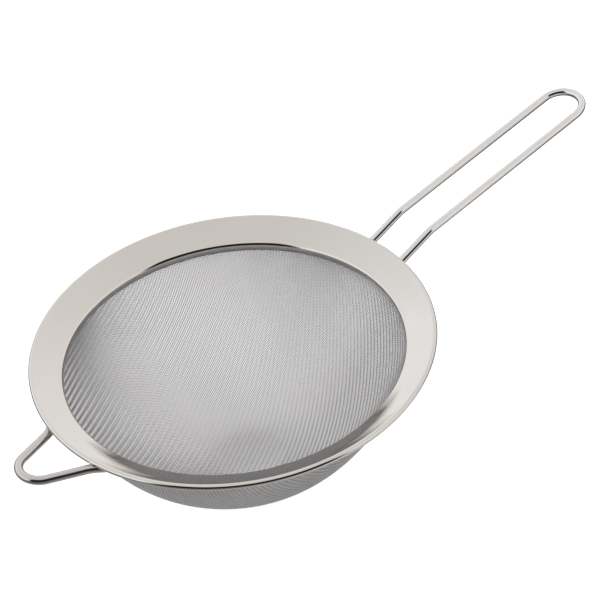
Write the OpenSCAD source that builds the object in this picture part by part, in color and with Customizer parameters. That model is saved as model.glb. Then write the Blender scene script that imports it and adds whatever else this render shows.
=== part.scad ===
// Tea strainer: a dished steel rim holding a woven wire bowl, with a long wire handle on one side
// and a short wire rest hook on the other.
// +Z is up and +X points along the handle. The origin is the middle of the bowl's flat foot.

/* [Rim] */
// Diameter over the curled edge of the rim
rim_d = 100; // [96:0.5:104]
// Height of the curled edge's middle above the foot
rim_h = 37.7; // [34:0.1:42]
// Slope of the flange down to the opening, in degrees
flange_slope = 28; // [24:1:30]
// Diameter of the opening inside the collar
opening_d = 84; // [82:0.5:86]
// How far the collar's lower end is below the middle of the curled edge
collar_drop = 4.7; // [4.6:0.1:5]
// Thickness of the sheet steel
sheet = 0.4; // [0.3:0.05:0.45]
// Outside radius of the curled edge
bead_r = 0.75; // [0.7:0.05:0.9]
// Outside radius of the lip where the flange turns down into the collar
lip_r = 1.2; // [1:0.05:1.3]

/* [Mesh bowl] */
// Thickness of the wire cloth
cloth = 0.4; // [0.35:0.05:0.45]
// Diameter of the flat foot pressed into the bowl
foot_d = 18; // [14:1:22]
// Pointedness of the bowl's side: 1 is part of an ellipse, and more is leaner lower down
bowl_point = 1.4; // [1:0.05:1.5]
// Height of the band that clamps the cloth to the collar
band_h = 2.1; // [1.8:0.1:2.4]

/* [Handle] */
// Diameter of the handle wire
handle_wire_d = 2; // [1.8:0.1:2.2]
// Distance between the middles of the handle's two legs
handle_w = 11.4; // [10:0.2:14]
// Distance from the bowl's axis to the far end of the handle wire's middle line
handle_reach = 118.5; // [100:0.5:130]
// Distance from the bowl's axis to the bend outside the rim
handle_bend_x = 60.6; // [57:0.2:64]
// Slope of the handle between the rim and the bend, in degrees
handle_rise_near = 20.5; // [18:0.5:22]
// Slope of the handle beyond the bend, in degrees
handle_rise_far = 8.5; // [6:0.5:11]

/* [Rest hook] */
// Diameter of the hook wire
hook_wire_d = 2.2; // [2:0.1:2.4]
// Distance from the bowl's axis to the tip of the hook wire's middle line
hook_reach = 62.5; // [60:0.5:66]
// Radius of the hook's rounded tip, on the wire's middle line
hook_tip_r = 5.3; // [4.5:0.1:5.6]
// Angle between each leg of the hook and the X axis, in degrees
hook_leg_angle = 20; // [18:1:22]
// Angle between each welded end of the hook and the X axis, in degrees
hook_flare_angle = 43; // [38:1:46]
// Slope of the hook up towards its tip, in degrees
hook_rise = 6.3; // [4:0.1:8]

/* [Hidden] */
$fn = 96;

// Radial distances of the rim's bends
bead_mid_r = rim_d / 2 - bead_r;
collar_r = opening_d / 2;
lip_mid_r = collar_r + lip_r;
// Where the top of the flange meets the curled edge, and the heights that follow from it
flange_top_r = bead_mid_r - bead_r * sin(flange_slope);
flange_top_z = bead_r * cos(flange_slope);
lip_mid_z = flange_top_z - (lip_r + sin(flange_slope) * (flange_top_r - lip_mid_r)) / cos(flange_slope);
// The curl goes round the edge and back under it by this angle
curl_turn = 250;

// The cloth stands outside the collar and the band outside the cloth
cloth_in_r = collar_r + sheet;
cloth_out_r = cloth_in_r + cloth;
band_r = cloth_out_r + sheet;
cloth_top_z = rim_h + lip_mid_z;
band_top_z = cloth_top_z + 0.2;
bowl_mid_z = rim_h - collar_drop;
foot_r = foot_d / 2;

// The wires press this far into the steel where they are welded
weld_bite = 0.03;
// A bend is this much thicker than its wire, and the straight runs go this far into it
bend_swell = 0.01;
run_overlap = 0.05;
wire_bend_r = 6;
handle_r = handle_wire_d / 2;
hook_r = hook_wire_d / 2;
// Radial distances of the wires' welded ends, which leave room for a cup's wall outside the band
handle_end_r = 44.9;
hook_end_r = 46.4;

// Height of the flange's underside at a radial distance, from the middle of the curled edge
function underside(r) = flange_top_z - (flange_top_r - r) * tan(flange_slope) - sheet / cos(flange_slope);
function unit(v) = v / norm(v);
function arc(mid, r, from, to, steps = 24) =
    [for (i = [0 : steps])
        let (turn = from + (to - from) * i / steps)
        mid + r * [cos(turn), sin(turn)]];
// Side of the bowl from its clamped edge down to a height, where it ends foot_r from the axis
function bowl_line(r, foot_z, steps = 40) =
    let (last = acos(foot_r / r))
    let (depth = (bowl_mid_z - foot_z) / pow(sin(last), bowl_point))
    [for (i = [0 : steps])
        [r * cos(last * i / steps), bowl_mid_z - depth * pow(sin(last * i / steps), bowl_point)]];
function reversed(list) = [for (i = [len(list) - 1 : -1 : 0]) list[i]];

// Length that a bend of radius r takes from each straight run at the corner between a, b and c
function bend_cut(a, b, c, r) = r * tan(acos(unit(b - a) * unit(c - b)) / 2);

// A straight run of round wire from a to b
module straight_wire(a, b, r) {
    run = b - a;
    across = norm([run[0], run[1]]);
    translate(a)
        rotate([0, atan2(across, run[2]), atan2(run[1], run[0])])
            cylinder(h = norm(run), r = r);
}

// The round bend of a wire at the corner b, between the runs a to b and b to c
module wire_bend(a, b, c, r, bend_r) {
    along = unit(b - a);
    next = unit(c - b);
    turn = acos(along * next);
    inward = unit(next - (along * next) * along);
    up = cross(along, inward);
    middle = b - bend_cut(a, b, c, bend_r) * along + bend_r * inward;
    multmatrix([
        [-inward[0], along[0], up[0], middle[0]],
        [-inward[1], along[1], up[1], middle[1]],
        [-inward[2], along[2], up[2], middle[2]],
        [0, 0, 0, 1]
    ])
        rotate_extrude(angle = turn)
            translate([bend_r, 0])
                circle(r = r + bend_swell);
}

// A wire of radius r through the points, with a bend of radius bends[i] at points[i]
module bent_wire(points, bends, r) {
    last = len(points) - 1;
    cuts = [for (i = [0 : last])
        i == 0 || i == last ? 0 : bend_cut(points[i - 1], points[i], points[i + 1], bends[i])];
    for (i = [0 : last - 1]) {
        along = unit(points[i + 1] - points[i]);
        start = points[i] + max(cuts[i] - run_overlap, 0) * along;
        end = points[i + 1] - max(cuts[i + 1] - run_overlap, 0) * along;
        if (norm(points[i + 1] - points[i]) > cuts[i] + cuts[i + 1] + 0.01)
            straight_wire(start, end, r);
    }
    for (i = [1 : last - 1])
        wire_bend(points[i - 1], points[i], points[i + 1], r, bends[i]);
}

// The dished flange with its curled outer edge and turned-down collar, all one sheet of steel
module rim() {
    bead_mid = [bead_mid_r, 0];
    lip_mid = [lip_mid_r, lip_mid_z];
    lean = 90 + flange_slope;
    outside = concat(
        [[collar_r, -collar_drop]],
        reversed(arc(lip_mid, lip_r, lean, 180)),
        arc(bead_mid, bead_r, lean, lean - curl_turn, 48)
    );
    inside = concat(
        [[collar_r + sheet, -collar_drop]],
        reversed(arc(lip_mid, lip_r - sheet, lean, 180)),
        arc(bead_mid, bead_r - sheet, lean, lean - curl_turn, 48)
    );
    color("gainsboro")
        translate([0, 0, rim_h])
            rotate_extrude($fn = 180)
                polygon(concat(outside, reversed(inside)));
}

// The flat band that clamps the cloth against the collar
module mesh_band() {
    color("silver")
        translate([0, 0, band_top_z - band_h])
            difference() {
                cylinder(h = band_h, r = band_r);
                translate([0, 0, -1])
                    cylinder(h = band_h + 2, r = cloth_out_r);
            }
}

// The wire cloth bowl, as a smooth skin of the cloth's thickness
module mesh_bowl() {
    outside = concat([[cloth_out_r, cloth_top_z]], bowl_line(cloth_out_r, 0), [[0, 0]]);
    inside = concat([[cloth_in_r, cloth_top_z]], bowl_line(cloth_in_r, cloth), [[0, cloth]]);
    color("darkgray")
        rotate_extrude($fn = 180)
            polygon(concat(outside, reversed(inside)));
}

// One leg of the handle, from its welded end to the corner at the tip, on the +Y side
function handle_leg() =
    let (y = handle_w / 2)
    let (end_x = sqrt(pow(handle_end_r, 2) - pow(y, 2)))
    let (under_x = sqrt(pow(bead_mid_r, 2) - pow(y, 2)))
    let (end_z = underside(handle_end_r) - 1.1 * handle_r + weld_bite)
    let (under_z = -(bead_r + handle_r - weld_bite) / cos(handle_rise_near))
    let (bend_z = under_z + (handle_bend_x - under_x) * tan(handle_rise_near))
    let (tip_z = bend_z + (handle_reach - handle_bend_x) * tan(handle_rise_far))
    [[end_x, y, end_z], [under_x, y, under_z], [handle_bend_x, y, bend_z], [handle_reach, y, tip_z]];

// The U of bright wire that is the handle
module handle_wire() {
    leg = handle_leg();
    other = [for (p = reversed(leg)) [p[0], -p[1], p[2]]];
    bends = [0, wire_bend_r, wire_bend_r, handle_w / 2];
    color("whitesmoke")
        translate([0, 0, rim_h])
            bent_wire(concat(leg, other), concat(bends, reversed(bends)), handle_r);
}

// One leg of the hook, from its welded end to the flare under the rim, on the +Y side
function hook_leg(tip_x, tip_z) =
    let (flare_x = -(bead_mid_r - 0.2))
    let (flare_y = (flare_x - tip_x) * tan(hook_leg_angle))
    let (flare_z = -(bead_r + hook_r - weld_bite) / cos(hook_rise))
    let (weld_run = (norm([flare_x, flare_y]) - hook_end_r) * 1.15)
    let (end_x = flare_x + weld_run * cos(hook_flare_angle))
    let (end_y = flare_y + weld_run * sin(hook_flare_angle))
    let (end_z = underside(norm([end_x, end_y])) - 1.15 * hook_r + weld_bite)
    [[end_x, end_y, end_z], [flare_x, flare_y, flare_z]];

// The V of wire opposite the handle, which rests on a cup
module rest_hook() {
    corner_x = -hook_reach - hook_tip_r / sin(hook_leg_angle) + hook_tip_r;
    corner_z = -(bead_r + hook_r) / cos(hook_rise) + (-corner_x - bead_mid_r) * tan(hook_rise);
    leg = hook_leg(corner_x, corner_z);
    other = [for (p = reversed(leg)) [p[0], -p[1], p[2]]];
    color("lightgray")
        translate([0, 0, rim_h])
            bent_wire(
                concat(leg, [[corner_x, 0, corner_z]], other),
                [0, wire_bend_r, hook_tip_r, wire_bend_r, 0],
                hook_r
            );
}

rim();
mesh_band();
mesh_bowl();
handle_wire();
rest_hook();
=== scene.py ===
"""Tea strainer: a dished polished rim, a bowl of woven wire cloth, a bright wire handle and a satin
wire rest hook. Lengths in this file are millimetres until they reach a mesh, which is in metres."""

import math

import bmesh
import bpy
import numpy as np
from mathutils import Matrix, Vector


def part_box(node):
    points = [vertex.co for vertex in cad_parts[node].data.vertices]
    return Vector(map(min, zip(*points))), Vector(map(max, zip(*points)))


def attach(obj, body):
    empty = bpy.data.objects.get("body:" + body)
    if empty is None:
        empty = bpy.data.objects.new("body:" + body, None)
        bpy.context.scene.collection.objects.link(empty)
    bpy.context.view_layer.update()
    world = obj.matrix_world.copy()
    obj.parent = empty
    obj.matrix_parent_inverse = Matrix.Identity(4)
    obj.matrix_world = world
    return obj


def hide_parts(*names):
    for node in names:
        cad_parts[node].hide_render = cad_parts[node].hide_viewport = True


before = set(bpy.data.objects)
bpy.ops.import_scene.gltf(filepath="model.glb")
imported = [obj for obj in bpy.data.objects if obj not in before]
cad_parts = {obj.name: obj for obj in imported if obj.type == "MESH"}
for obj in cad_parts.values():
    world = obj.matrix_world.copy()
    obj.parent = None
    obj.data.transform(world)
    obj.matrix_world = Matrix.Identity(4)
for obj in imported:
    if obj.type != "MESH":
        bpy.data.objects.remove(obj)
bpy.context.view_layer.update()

MM = 0.001

# ---------------------------------------------------------------- sizes read from the frame


def corners_mm(node):
    low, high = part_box(node)
    return low / MM, high / MM


rim_low, rim_high = corners_mm("rim")
band_low, band_high = corners_mm("mesh_band")
bowl_low, bowl_high = corners_mm("mesh_bowl")
handle_low, handle_high = corners_mm("handle_wire")
hook_low, hook_high = corners_mm("rest_hook")

# Sheet steel, and the curled edge, lip and collar that it is formed into
SHEET = 0.4
BEAD_R = 0.75
LIP_R = 1.2
FLANGE_SLOPE = math.radians(28)
FLANGE_CROWN = 0.07
CURL_TURN = math.radians(250)
rim_r = rim_high.x
bead_mid_r = rim_r - BEAD_R
rim_z = rim_high.z - BEAD_R
collar_bottom_z = rim_low.z
band_r = band_high.x
cloth_out_r = band_r - SHEET
CLOTH = 0.4
collar_r = cloth_out_r - CLOTH - SHEET
lip_mid_r = collar_r + LIP_R
flange_top_r = bead_mid_r - BEAD_R * math.sin(FLANGE_SLOPE)
flange_top_z = rim_z + BEAD_R * math.cos(FLANGE_SLOPE)
lip_mid_z = flange_top_z - (
    LIP_R + math.sin(FLANGE_SLOPE) * (flange_top_r - lip_mid_r)
) / math.cos(FLANGE_SLOPE)

# Twilled wire cloth: 56 wires to the inch each way, each over two and under two
MESH_PITCH = 25.4 / 56
MESH_WIRE_R = 0.1
FOOT_R = 9.0
BOWL_POINT = 1.4
# Turn of the cloth's wires from the handle's line, and how far the bowl's side bulges away from it
NET_TURN = math.radians(76.5)
BULGE = 1.2

# Thick wires: their radii, the bite of each weld into the steel, and the bends under the rim
HANDLE_R = 1.0
HOOK_R = 1.1
WELD_BITE = 0.03
WIRE_BEND_R = 6.0
HANDLE_END_R = 44.9
HANDLE_BEND_X = 60.6
HANDLE_RISE_NEAR = math.radians(20.5)
HANDLE_RISE_FAR = math.radians(8.5)
HOOK_END_R = 46.4
HOOK_TIP_R = 5.3
HOOK_LEG_ANGLE = math.radians(20)
HOOK_FLARE_ANGLE = math.radians(43)
HOOK_RISE = math.radians(6.3)


def underside(r):
    """Height of the flange's underside at a radial distance."""
    return flange_top_z - (flange_top_r - r) * math.tan(FLANGE_SLOPE) - SHEET / math.cos(FLANGE_SLOPE)


# ---------------------------------------------------------------- materials


def colour(text):
    """A linear colour from an sRGB hex value."""
    parts = [int(text[i : i + 2], 16) / 255 for i in (1, 3, 5)]
    return [c / 12.92 if c <= 0.04045 else ((c + 0.055) / 1.055) ** 2.4 for c in parts] + [1.0]


def add(tree, kind, links=None, values=None, **settings):
    """Adds a node, sets its properties and its sockets' values, and links its inputs to other sockets."""
    node = tree.nodes.new(kind)
    for key, value in settings.items():
        setattr(node, key, value)
    for key, value in (values or {}).items():
        node.inputs[key].default_value = value
    for key, socket in (links or {}).items():
        tree.links.new(node.inputs[key], socket)
    return node


def new_material(name):
    material = bpy.data.materials.new(name)
    material.use_nodes = True
    tree = material.node_tree
    shader = tree.nodes["Principled BSDF"]
    coords = add(tree, "ShaderNodeTexCoord").outputs["Object"]
    return material, tree, shader, coords


def polished_sheet():
    """Stainless sheet, spun and buffed: a near mirror, softened by faint lines running round the ring."""
    material, tree, shader, coords = new_material("buffed_stainless_sheet")
    shader.inputs["Metallic"].default_value = 1.0
    flat = add(tree, "ShaderNodeVectorMath", {0: coords}, {1: (1, 1, 0)}, operation="MULTIPLY")
    radius = add(tree, "ShaderNodeVectorMath", {0: flat.outputs["Vector"]}, operation="LENGTH")
    split = add(tree, "ShaderNodeSeparateXYZ", {"Vector": coords})
    ring = add(tree, "ShaderNodeCombineXYZ", {"X": radius.outputs["Value"], "Z": split.outputs["Z"]})
    # Real buffing lines are under 0.1 mm apart; they are drawn about 0.6 mm apart so that they show
    lines = add(
        tree, "ShaderNodeTexNoise", {"Vector": ring.outputs["Vector"]}, {"Scale": 1700.0, "Detail": 2.0}
    )
    # Handling haze in patches about 15 mm across
    haze = add(tree, "ShaderNodeTexNoise", {"Vector": coords}, {"Scale": 65.0, "Detail": 3.0})
    rough = add(
        tree, "ShaderNodeMapRange", {"Value": haze.outputs["Fac"]},
        {"From Min": 0.3, "From Max": 0.7, "To Min": 0.05, "To Max": 0.09},
    )
    tint = add(
        tree, "ShaderNodeMix", {0: haze.outputs["Fac"]}, {6: colour("#DEDBD7"), 7: colour("#E4E2DF")},
        data_type="RGBA",
    )
    bump = add(
        tree, "ShaderNodeBump", {"Height": lines.outputs["Fac"]}, {"Strength": 1.0, "Distance": 0.00002}
    )
    tree.links.new(shader.inputs["Roughness"], rough.outputs["Result"])
    tree.links.new(shader.inputs["Base Color"], tint.outputs[2])
    tree.links.new(shader.inputs["Normal"], bump.outputs["Normal"])
    return material


def mill_sheet():
    """Stainless strip as rolled: duller than the rim, with a fine grain."""
    material, tree, shader, coords = new_material("rolled_stainless_strip")
    shader.inputs["Metallic"].default_value = 1.0
    # Rolling grain about 0.3 mm long
    grain = add(tree, "ShaderNodeTexNoise", {"Vector": coords}, {"Scale": 3000.0, "Detail": 3.0})
    rough = add(
        tree, "ShaderNodeMapRange", {"Value": grain.outputs["Fac"]},
        {"From Min": 0.3, "From Max": 0.7, "To Min": 0.28, "To Max": 0.42},
    )
    tint = add(
        tree, "ShaderNodeMix", {0: grain.outputs["Fac"]}, {6: colour("#B4B2AF"), 7: colour("#CBC9C6")},
        data_type="RGBA",
    )
    tree.links.new(shader.inputs["Roughness"], rough.outputs["Result"])
    tree.links.new(shader.inputs["Base Color"], tint.outputs[2])
    return material


def cloth_wire(name, dull, bright):
    """Drawn stainless wire, woven: a satin shine, with dull patches where the bowl was formed."""
    material, tree, shader, coords = new_material(name)
    shader.inputs["Metallic"].default_value = 1.0
    # Dull patches about 2.5 mm across
    patch = add(tree, "ShaderNodeTexNoise", {"Vector": coords}, {"Scale": 400.0, "Detail": 4.0})
    rough = add(
        tree, "ShaderNodeMapRange", {"Value": patch.outputs["Fac"]},
        {"From Min": 0.3, "From Max": 0.7, "To Min": 0.3, "To Max": 0.4},
    )
    tint = add(
        tree, "ShaderNodeMix", {0: patch.outputs["Fac"]}, {6: colour(dull), 7: colour(bright)},
        data_type="RGBA",
    )
    tree.links.new(shader.inputs["Roughness"], rough.outputs["Result"])
    tree.links.new(shader.inputs["Base Color"], tint.outputs[2])
    return material


def bright_wire():
    """Thick drawn wire, electropolished: a mirror with the least unevenness."""
    material, tree, shader, coords = new_material("electropolished_wire")
    shader.inputs["Metallic"].default_value = 1.0
    # Unevenness left from drawing, about 4 mm long
    patch = add(tree, "ShaderNodeTexNoise", {"Vector": coords}, {"Scale": 250.0, "Detail": 3.0})
    rough = add(
        tree, "ShaderNodeMapRange", {"Value": patch.outputs["Fac"]},
        {"From Min": 0.3, "From Max": 0.7, "To Min": 0.04, "To Max": 0.08},
    )
    tint = add(
        tree, "ShaderNodeMix", {0: patch.outputs["Fac"]}, {6: colour("#E6E5E4"), 7: colour("#EFEEED")},
        data_type="RGBA",
    )
    tree.links.new(shader.inputs["Roughness"], rough.outputs["Result"])
    tree.links.new(shader.inputs["Base Color"], tint.outputs[2])
    return material


def satin_wire():
    """Thick drawn wire, tumbled: the same steel with a softer shine and tiny dents."""
    material, tree, shader, coords = new_material("tumbled_wire")
    shader.inputs["Metallic"].default_value = 1.0
    # Tumbling marks about 0.4 mm across
    dents = add(tree, "ShaderNodeTexNoise", {"Vector": coords}, {"Scale": 2500.0, "Detail": 3.0})
    rough = add(
        tree, "ShaderNodeMapRange", {"Value": dents.outputs["Fac"]},
        {"From Min": 0.3, "From Max": 0.7, "To Min": 0.14, "To Max": 0.24},
    )
    tint = add(
        tree, "ShaderNodeMix", {0: dents.outputs["Fac"]}, {6: colour("#CBC8C8"), 7: colour("#DAD7D6")},
        data_type="RGBA",
    )
    bump = add(
        tree, "ShaderNodeBump", {"Height": dents.outputs["Fac"]}, {"Strength": 0.15, "Distance": 0.00002}
    )
    tree.links.new(shader.inputs["Roughness"], rough.outputs["Result"])
    tree.links.new(shader.inputs["Base Color"], tint.outputs[2])
    tree.links.new(shader.inputs["Normal"], bump.outputs["Normal"])
    return material


# ---------------------------------------------------------------- sheet metal


def arc(mid, r, start, end, steps):
    """Points (radial distance, height) on an arc, both ends included."""
    turns = [start + (end - start) * i / steps for i in range(steps + 1)]
    return [(mid[0] + r * math.cos(a), mid[1] + r * math.sin(a)) for a in turns]


def lathe(name, outline, steps=360):
    """Spins a closed outline of (radial distance, height) points round the Z axis."""
    shape = bmesh.new()
    points = [shape.verts.new((r * MM, 0, z * MM)) for r, z in outline]
    for a, b in zip(points, points[1:] + points[:1]):
        shape.edges.new((a, b))
    bmesh.ops.spin(
        shape, geom=shape.verts[:] + shape.edges[:], cent=(0, 0, 0), axis=(0, 0, 1),
        angle=math.tau, steps=steps, use_merge=True,
    )
    bmesh.ops.recalc_face_normals(shape, faces=shape.faces)
    for face in shape.faces:
        face.smooth = True
    mesh = bpy.data.meshes.new(name)
    shape.to_mesh(mesh)
    shape.free()
    piece = bpy.data.objects.new(name, mesh)
    bpy.context.scene.collection.objects.link(piece)
    return piece


def finish_piece(piece, node, material):
    piece.data.materials.append(material)
    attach(piece, "root")
    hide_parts(node)


def crowned(inner, outer, steps=24):
    """Points between the lip and the bead, where spinning leaves the flange slightly crowned."""
    points = []
    for i in range(1, steps):
        u = i / steps
        rise = FLANGE_CROWN * math.sin(math.pi * u) ** 2
        r = inner[0] + (outer[0] - inner[0]) * u - rise * math.sin(FLANGE_SLOPE)
        z = inner[1] + (outer[1] - inner[1]) * u + rise * math.cos(FLANGE_SLOPE)
        points.append((r, z))
    return points


def make_rim():
    lean = math.pi / 2 + FLANGE_SLOPE
    bead_mid = (bead_mid_r, rim_z)
    lip_mid = (lip_mid_r, lip_mid_z)
    collar_mid = (collar_r + SHEET / 2, collar_bottom_z + SHEET / 2)
    curl_end = lean - CURL_TURN
    curl_r = BEAD_R - SHEET / 2
    curl_mid = (
        bead_mid_r + curl_r * math.cos(curl_end),
        rim_z + curl_r * math.sin(curl_end),
    )
    lip_top = arc(lip_mid, LIP_R, math.pi, lean, 14)
    bead_top = arc(bead_mid, BEAD_R, lean, curl_end, 40)
    lip_under = arc(lip_mid, LIP_R - SHEET, lean, math.pi, 10)
    bead_under = arc(bead_mid, BEAD_R - SHEET, curl_end, lean, 24)
    outline = (
        lip_top
        + crowned(lip_top[-1], bead_top[0])
        + bead_top
        + arc(curl_mid, SHEET / 2, curl_end, curl_end - math.pi, 6)[1:-1]
        + bead_under
        + crowned(lip_under[0], bead_under[-1])[::-1]
        + lip_under
        + arc(collar_mid, SHEET / 2, 0, -math.pi, 6)
    )
    return lathe("rim_sheet", outline)


def make_band():
    # Radius of the band's worn edges
    edge = 0.12
    outline = []
    for r, z, start in (
        (band_r - edge, band_high.z - edge, math.pi / 2),
        (band_r - edge, band_low.z + edge, 0),
        (cloth_out_r + edge, band_low.z + edge, -math.pi / 2),
        (cloth_out_r + edge, band_high.z - edge, -math.pi),
    ):
        outline += arc((r, z), edge, start, start - math.pi / 2, 4)
    return lathe("clamp_band", outline)


# ---------------------------------------------------------------- wire cloth

# Keeps a division from meeting zero, and the small step and number of rounds that place a crossing
TINY = 1e-9
PROBE = 1e-4
ROUNDS = 8


def cloth_line(samples=4000):
    """The middle of the cloth from the foot's centre to its hidden edge: distance along it, r and z."""
    r_top = cloth_out_r - CLOTH / 2
    z_foot = bowl_low.z + CLOTH / 2
    last = math.acos(FOOT_R / r_top)
    depth = (collar_bottom_z - z_foot) / math.sin(last) ** BOWL_POINT
    turn = np.linspace(last, 0, samples)
    r = np.concatenate([[0], r_top * np.cos(turn), [r_top]])
    z = np.concatenate([[z_foot], collar_bottom_z - depth * np.sin(turn) ** BOWL_POINT, [bowl_high.z]])
    along = np.concatenate([[0], np.cumsum(np.hypot(np.diff(r), np.diff(z)))])
    return along, r, z


along, line_r, line_z = cloth_line()
line_slope_r = np.gradient(line_r, along)
line_slope_z = np.gradient(line_z, along)


def on_cloth(spot):
    """Places on the cloth, in mm, from (u, v): distance from the foot's centre, and direction."""
    far = np.hypot(spot[..., 0], spot[..., 1])
    safe = np.maximum(far, TINY)
    r = np.interp(far, along, line_r)
    z = np.interp(far, along, line_z)
    return np.stack([spot[..., 0] / safe * r, spot[..., 1] / safe * r, z], -1)


def cloth_normal(spot):
    """The cloth's normals there, pointing into the bowl."""
    far = np.hypot(spot[..., 0], spot[..., 1])
    safe = np.maximum(far, TINY)
    out = np.interp(far, along, line_slope_z)
    up = np.interp(far, along, line_slope_r)
    return np.stack([-spot[..., 0] / safe * out, -spot[..., 1] / safe * out, up], -1)


def fourth_corner(a, b, guess):
    """Where the next crossing of the net lies: one pitch from a and one pitch from b, on the cloth."""
    at_a, at_b = on_cloth(a), on_cloth(b)
    spot = guess.copy()
    for _ in range(ROUNDS):
        here = on_cloth(spot)
        du = (on_cloth(spot + [PROBE, 0]) - here) / PROBE
        dv = (on_cloth(spot + [0, PROBE]) - here) / PROBE
        to_a, to_b = here - at_a, here - at_b
        miss_a = (to_a**2).sum(-1) - MESH_PITCH**2
        miss_b = (to_b**2).sum(-1) - MESH_PITCH**2
        m = [2 * (to_a * du).sum(-1), 2 * (to_a * dv).sum(-1)]
        n = [2 * (to_b * du).sum(-1), 2 * (to_b * dv).sum(-1)]
        size = m[0] * n[1] - m[1] * n[0]
        size = np.where(np.abs(size) < TINY, TINY, size)
        spot[:, 0] -= (miss_a * n[1] - miss_b * m[1]) / size
        spot[:, 1] -= (miss_b * m[0] - miss_a * n[0]) / size
    return spot


def quarter_net():
    """Crossings of the cloth's wires in one quarter. The wires keep their length and shear over the bowl."""
    count = int(along[-1] / MESH_PITCH) + 1
    net = np.full((count, count, 2), np.nan)
    net[:, 0] = np.stack([np.arange(count) * MESH_PITCH, np.zeros(count)], -1)
    net[0, :] = net[:, 0][:, ::-1]
    for diagonal in range(2, 2 * count - 1):
        i = np.arange(max(1, diagonal - count + 1), min(diagonal, count))
        j = diagonal - i
        a, b = net[i - 1, j], net[i, j - 1]
        known = ~np.isnan(a[:, 0]) & ~np.isnan(b[:, 0])
        known &= np.hypot(a[:, 0], a[:, 1]) < along[-1]
        known &= np.hypot(b[:, 0], b[:, 1]) < along[-1]
        i, j, a, b = i[known], j[known], a[known], b[known]
        if len(i):
            net[i, j] = fourth_corner(a, b, a + b - net[i - 1, j - 1])
    return net


def woven_wires():
    """Every wire of the cloth as a list of points, crimped over and under: two families."""
    net = quarter_net()
    count = len(net)
    index = np.arange(-count + 1, count)
    i, j = np.meshgrid(index, index, indexing="ij")
    spot = net[abs(i), abs(j)] * np.stack([np.where(i < 0, -1, 1), np.where(j < 0, -1, 1)], -1)
    inside = ~np.isnan(spot[..., 0]) & (np.hypot(spot[..., 0], spot[..., 1]) <= along[-1])
    over = np.where((i + j) % 4 < 2, 1.0, -1.0)[..., None] * MESH_WIRE_R
    place, normal = on_cloth(spot), cloth_normal(spot)
    turn = np.array(
        [[math.cos(NET_TURN), math.sin(NET_TURN), 0], [-math.sin(NET_TURN), math.cos(NET_TURN), 0], [0, 0, 1]]
    )
    fall = np.clip((collar_bottom_z - place[..., 2]) / (collar_bottom_z - bowl_low.z), 0, 1)
    bulge = np.sin(math.pi * fall)[..., None] * [-BULGE, 0, 0]
    families = []
    for swap, side in ((False, 1), (True, -1)):
        points = (place + side * over * normal) @ turn + bulge
        shown = inside
        if swap:
            points, shown = points.transpose(1, 0, 2), inside.T
        families.append([points[:, k][shown[:, k]] for k in range(len(index))])
    return families


def wire_piece(name, wires, radius, roundness):
    """One curve object holding round wires along lists of points in millimetres."""
    curve = bpy.data.curves.new(name, "CURVE")
    curve.dimensions = "3D"
    curve.bevel_depth = radius * MM
    curve.bevel_resolution = roundness
    curve.use_fill_caps = True
    for points in wires:
        if len(points) < 2:
            continue
        spline = curve.splines.new("POLY")
        spline.points.add(len(points) - 1)
        flat = np.concatenate([np.asarray(points) * MM, np.ones((len(points), 1))], 1)
        spline.points.foreach_set("co", flat.ravel())
        spline.use_smooth = True
    piece = bpy.data.objects.new(name, curve)
    bpy.context.scene.collection.objects.link(piece)
    return piece


# ---------------------------------------------------------------- thick wires


def rounded(corners, bends, steps=20):
    """A path through the corners, with a round bend of the given radius at each inner one."""
    path = [Vector(corners[0])]
    for i in range(1, len(corners) - 1):
        before, corner, after = (Vector(corners[k]) for k in (i - 1, i, i + 1))
        come, go = (corner - before).normalized(), (after - corner).normalized()
        turn = come.angle(go)
        inward = (go - come * come.dot(go)).normalized()
        mid = corner - come * bends[i] * math.tan(turn / 2) + inward * bends[i]
        for k in range(steps + 1):
            at = turn * k / steps
            path.append(mid - inward * bends[i] * math.cos(at) + come * bends[i] * math.sin(at))
    path.append(Vector(corners[-1]))
    return [tuple(p) for p in path]


def make_handle():
    y = handle_high.y - HANDLE_R
    reach = handle_high.x - HANDLE_R
    under_x = math.sqrt(bead_mid_r**2 - y**2)
    under_z = rim_z - (BEAD_R + HANDLE_R - WELD_BITE) / math.cos(HANDLE_RISE_NEAR)
    bend_z = under_z + (HANDLE_BEND_X - under_x) * math.tan(HANDLE_RISE_NEAR)
    leg = [
        (math.sqrt(HANDLE_END_R**2 - y**2), y, underside(HANDLE_END_R) - 1.1 * HANDLE_R + WELD_BITE),
        (under_x, y, under_z),
        (HANDLE_BEND_X, y, bend_z),
        (reach, y, bend_z + (reach - HANDLE_BEND_X) * math.tan(HANDLE_RISE_FAR)),
    ]
    other = [(p[0], -p[1], p[2]) for p in reversed(leg)]
    bends = [0, WIRE_BEND_R, WIRE_BEND_R, y]
    path = rounded(leg + other, bends + bends[::-1])
    return wire_piece("handle_bent_wire", [path], HANDLE_R, 8)


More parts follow.
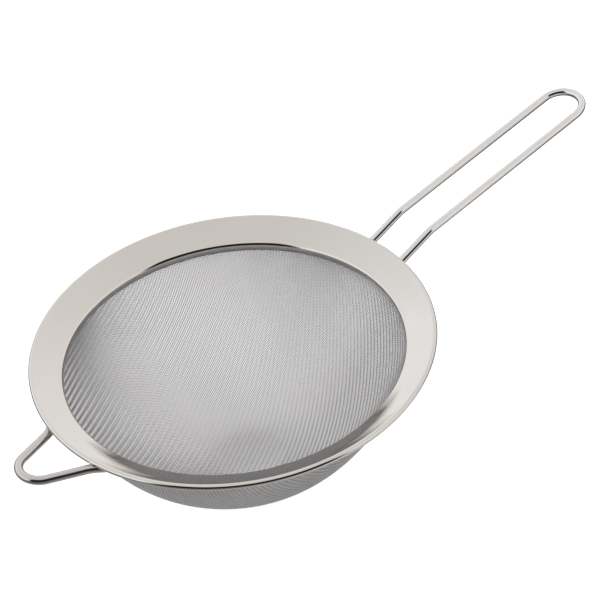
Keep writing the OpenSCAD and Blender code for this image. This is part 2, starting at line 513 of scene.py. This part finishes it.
def make_hook():
    tip_x = hook_low.x + HOOK_R
    corner_x = tip_x - HOOK_TIP_R / math.sin(HOOK_LEG_ANGLE) + HOOK_TIP_R
    corner_rise = (-corner_x - bead_mid_r) * math.tan(HOOK_RISE)
    corner_z = rim_z - (BEAD_R + HOOK_R) / math.cos(HOOK_RISE) + corner_rise
    flare_x = -(bead_mid_r - 0.2)
    flare_y = (flare_x - corner_x) * math.tan(HOOK_LEG_ANGLE)
    flare_z = rim_z - (BEAD_R + HOOK_R - WELD_BITE) / math.cos(HOOK_RISE)
    weld_run = (math.hypot(flare_x, flare_y) - HOOK_END_R) * 1.15
    end_x = flare_x + weld_run * math.cos(HOOK_FLARE_ANGLE)
    end_y = flare_y + weld_run * math.sin(HOOK_FLARE_ANGLE)
    end_z = underside(math.hypot(end_x, end_y)) - 1.15 * HOOK_R + WELD_BITE
    leg = [(end_x, end_y, end_z), (flare_x, flare_y, flare_z)]
    other = [(p[0], -p[1], p[2]) for p in reversed(leg)]
    bends = [0, WIRE_BEND_R, HOOK_TIP_R, WIRE_BEND_R, 0]
    path = rounded(leg + [(corner_x, 0, corner_z)] + other, bends)
    return wire_piece("hook_bent_wire", [path], HOOK_R, 8)


# ---------------------------------------------------------------- studio

# Level direction of the unlit side of the studio
DARK_SIDE = (math.cos(math.radians(235)), math.sin(math.radians(235)), 0)
# Level direction of the part of the floor that is darkest to the metal's reflections, where its painted shade
# lies
DARK_FLOOR = (math.cos(math.radians(200)), math.sin(math.radians(200)), 0)


def make_floor():
    """White paper that glows, brightly to the camera and faintly to the metal. The metal's reflections see it
    grey, with painted shade on the unlit side and behind the bowl.
    """
    shape = bmesh.new()
    bmesh.ops.create_grid(shape, x_segments=1, y_segments=1, size=3.0)
    mesh = bpy.data.meshes.new("floor")
    shape.to_mesh(mesh)
    shape.free()
    floor = bpy.data.objects.new("floor", mesh)
    bpy.context.scene.collection.objects.link(floor)
    material, tree, shader, coords = new_material("white_paper_painted_shade")
    shader.inputs["Roughness"].default_value = 0.9
    seen = add(tree, "ShaderNodeLightPath").outputs["Is Camera Ray"]
    # Painted shade on the unlit side of the floor, seen only in the metal's reflections
    toward = add(tree, "ShaderNodeVectorMath", {0: coords}, {1: DARK_FLOOR}, operation="DOT_PRODUCT")
    unlit = add(
        tree, "ShaderNodeMapRange", {"Value": toward.outputs["Value"]},
        {"From Min": 0.03, "From Max": 0.12, "To Min": 0.8, "To Max": 0.06},
    )
    # Painted shade on the floor behind the bowl, seen only in the metal's reflections
    across = add(tree, "ShaderNodeVectorMath", {0: coords}, {1: DARK_SIDE}, operation="DOT_PRODUCT")
    behind = add(
        tree, "ShaderNodeMapRange", {"Value": across.outputs["Value"]}, {"From Min": 0.0, "From Max": -0.05}
    )
    grey = add(
        tree, "ShaderNodeMix", {0: behind.outputs["Result"], 6: unlit.outputs["Result"]},
        {7: colour("#3C3E4A")}, data_type="RGBA",
    )
    tint = add(
        tree, "ShaderNodeMix", {0: seen, 6: grey.outputs[2]}, {7: colour("#F8F8F8")}, data_type="RGBA"
    )
    glow = add(tree, "ShaderNodeMapRange", {"Value": seen}, {"To Min": 0.1, "To Max": 0.75})
    tree.links.new(shader.inputs["Base Color"], tint.outputs[2])
    tree.links.new(shader.inputs["Emission Strength"], glow.outputs["Result"])
    shader.inputs["Emission Color"].default_value = colour("#FFFFFF")
    mesh.materials.append(material)


def make_world():
    """A white studio with soft light from all round, apart from the unlit side."""
    world = bpy.data.worlds.new("studio")
    bpy.context.scene.world = world
    world.use_nodes = True
    tree = world.node_tree
    background = tree.nodes["Background"]
    direction = add(tree, "ShaderNodeTexCoord").outputs["Generated"]
    split = add(tree, "ShaderNodeSeparateXYZ", {"Vector": direction})
    height = add(
        tree, "ShaderNodeMapRange", {"Value": split.outputs["Z"]}, {"From Min": 0.4, "From Max": 1.0}
    )
    side = add(tree, "ShaderNodeMath", {0: split.outputs["Y"], 1: split.outputs["X"]}, operation="SUBTRACT")
    cool = add(
        tree, "ShaderNodeMapRange", {"Value": side.outputs["Value"]}, {"From Min": -0.8, "From Max": 0.8}
    )
    low = add(
        tree, "ShaderNodeMix", {0: cool.outputs["Result"]}, {6: colour("#F4F0EE"), 7: colour("#FFFFFF")},
        data_type="RGBA",
    )
    sky = add(
        tree, "ShaderNodeMix", {0: height.outputs["Result"], 6: low.outputs[2]}, {7: colour("#E1DEDB")},
        data_type="RGBA",
    )
    toward = add(tree, "ShaderNodeVectorMath", {0: direction}, {1: DARK_SIDE}, operation="DOT_PRODUCT")
    level = add(tree, "ShaderNodeVectorMath", {0: direction}, {1: (1, 1, 0)}, operation="MULTIPLY")
    spread = add(tree, "ShaderNodeVectorMath", {0: level.outputs["Vector"]}, operation="LENGTH")
    facing = add(
        tree, "ShaderNodeMath", {0: toward.outputs["Value"], 1: spread.outputs["Value"]}, operation="DIVIDE"
    )
    within = add(
        tree, "ShaderNodeMapRange", {"Value": facing.outputs["Value"]}, {"From Min": 0.58, "From Max": 0.72},
        interpolation_type="SMOOTHSTEP",
    )
    below = add(
        tree, "ShaderNodeMapRange", {"Value": split.outputs["Z"]},
        {"From Min": 0.78, "From Max": 0.88, "To Min": 1.0, "To Max": 0.0}, interpolation_type="SMOOTHSTEP",
    )
    dark = add(
        tree, "ShaderNodeMath", {0: within.outputs["Result"], 1: below.outputs["Result"]},
        operation="MULTIPLY",
    )
    room = add(
        tree, "ShaderNodeMix", {0: dark.outputs["Value"], 6: sky.outputs[2]}, {7: colour("#202020")},
        data_type="RGBA",
    )
    seen = add(tree, "ShaderNodeLightPath").outputs["Is Camera Ray"]
    backdrop = add(
        tree, "ShaderNodeMix", {0: seen, 6: room.outputs[2]}, {7: colour("#FFFFFF")}, data_type="RGBA"
    )
    tree.links.new(background.inputs["Color"], backdrop.outputs[2])
    background.inputs["Strength"].default_value = 1.0


def make_camera():
    heading, tilt, roll = math.radians(-35.02), math.radians(50.21), math.radians(-7.76)
    data = bpy.data.cameras.new("camera")
    data.sensor_width = 36.0
    data.lens = 132.6
    data.clip_end = 20.0
    camera = bpy.data.objects.new("camera", data)
    bpy.context.scene.collection.objects.link(camera)
    turn = Matrix.Rotation(heading, 4, "Z") @ Matrix.Rotation(tilt, 4, "X") @ Matrix.Rotation(roll, 4, "Z")
    camera.matrix_world = Matrix.Translation((-0.21943, -0.34420, 0.35034 + rim_z * MM)) @ turn
    bpy.context.scene.camera = camera


# ---------------------------------------------------------------- build

finish_piece(make_rim(), "rim", polished_sheet())
finish_piece(make_band(), "mesh_band", mill_sheet())
finish_piece(make_handle(), "handle_wire", bright_wire())
finish_piece(make_hook(), "rest_hook", satin_wire())
# Both wires are the same steel; the warp is painted lighter and the weft greyer, as painted light and shade
# for the different way light falls on the two wire directions, so that a weave this fine still shows
cloth_materials = (
    cloth_wire("warp_wire_painted_light", "#EDEDEF", "#FAFAFC"),
    cloth_wire("weft_wire_painted_shade", "#C8C7C8", "#D6D5D6"),
)
for family, wires, cloth_material in zip(("warp", "weft"), woven_wires(), cloth_materials):
    for part in range(4):
        share = wires[len(wires) * part // 4 : len(wires) * (part + 1) // 4]
        piece = wire_piece(f"cloth_{family}_{part + 1}", share, MESH_WIRE_R, 1)
        finish_piece(piece, "mesh_bowl", cloth_material)

make_floor()
make_world()
make_camera()
bpy.context.scene.view_settings.view_transform = "Standard"
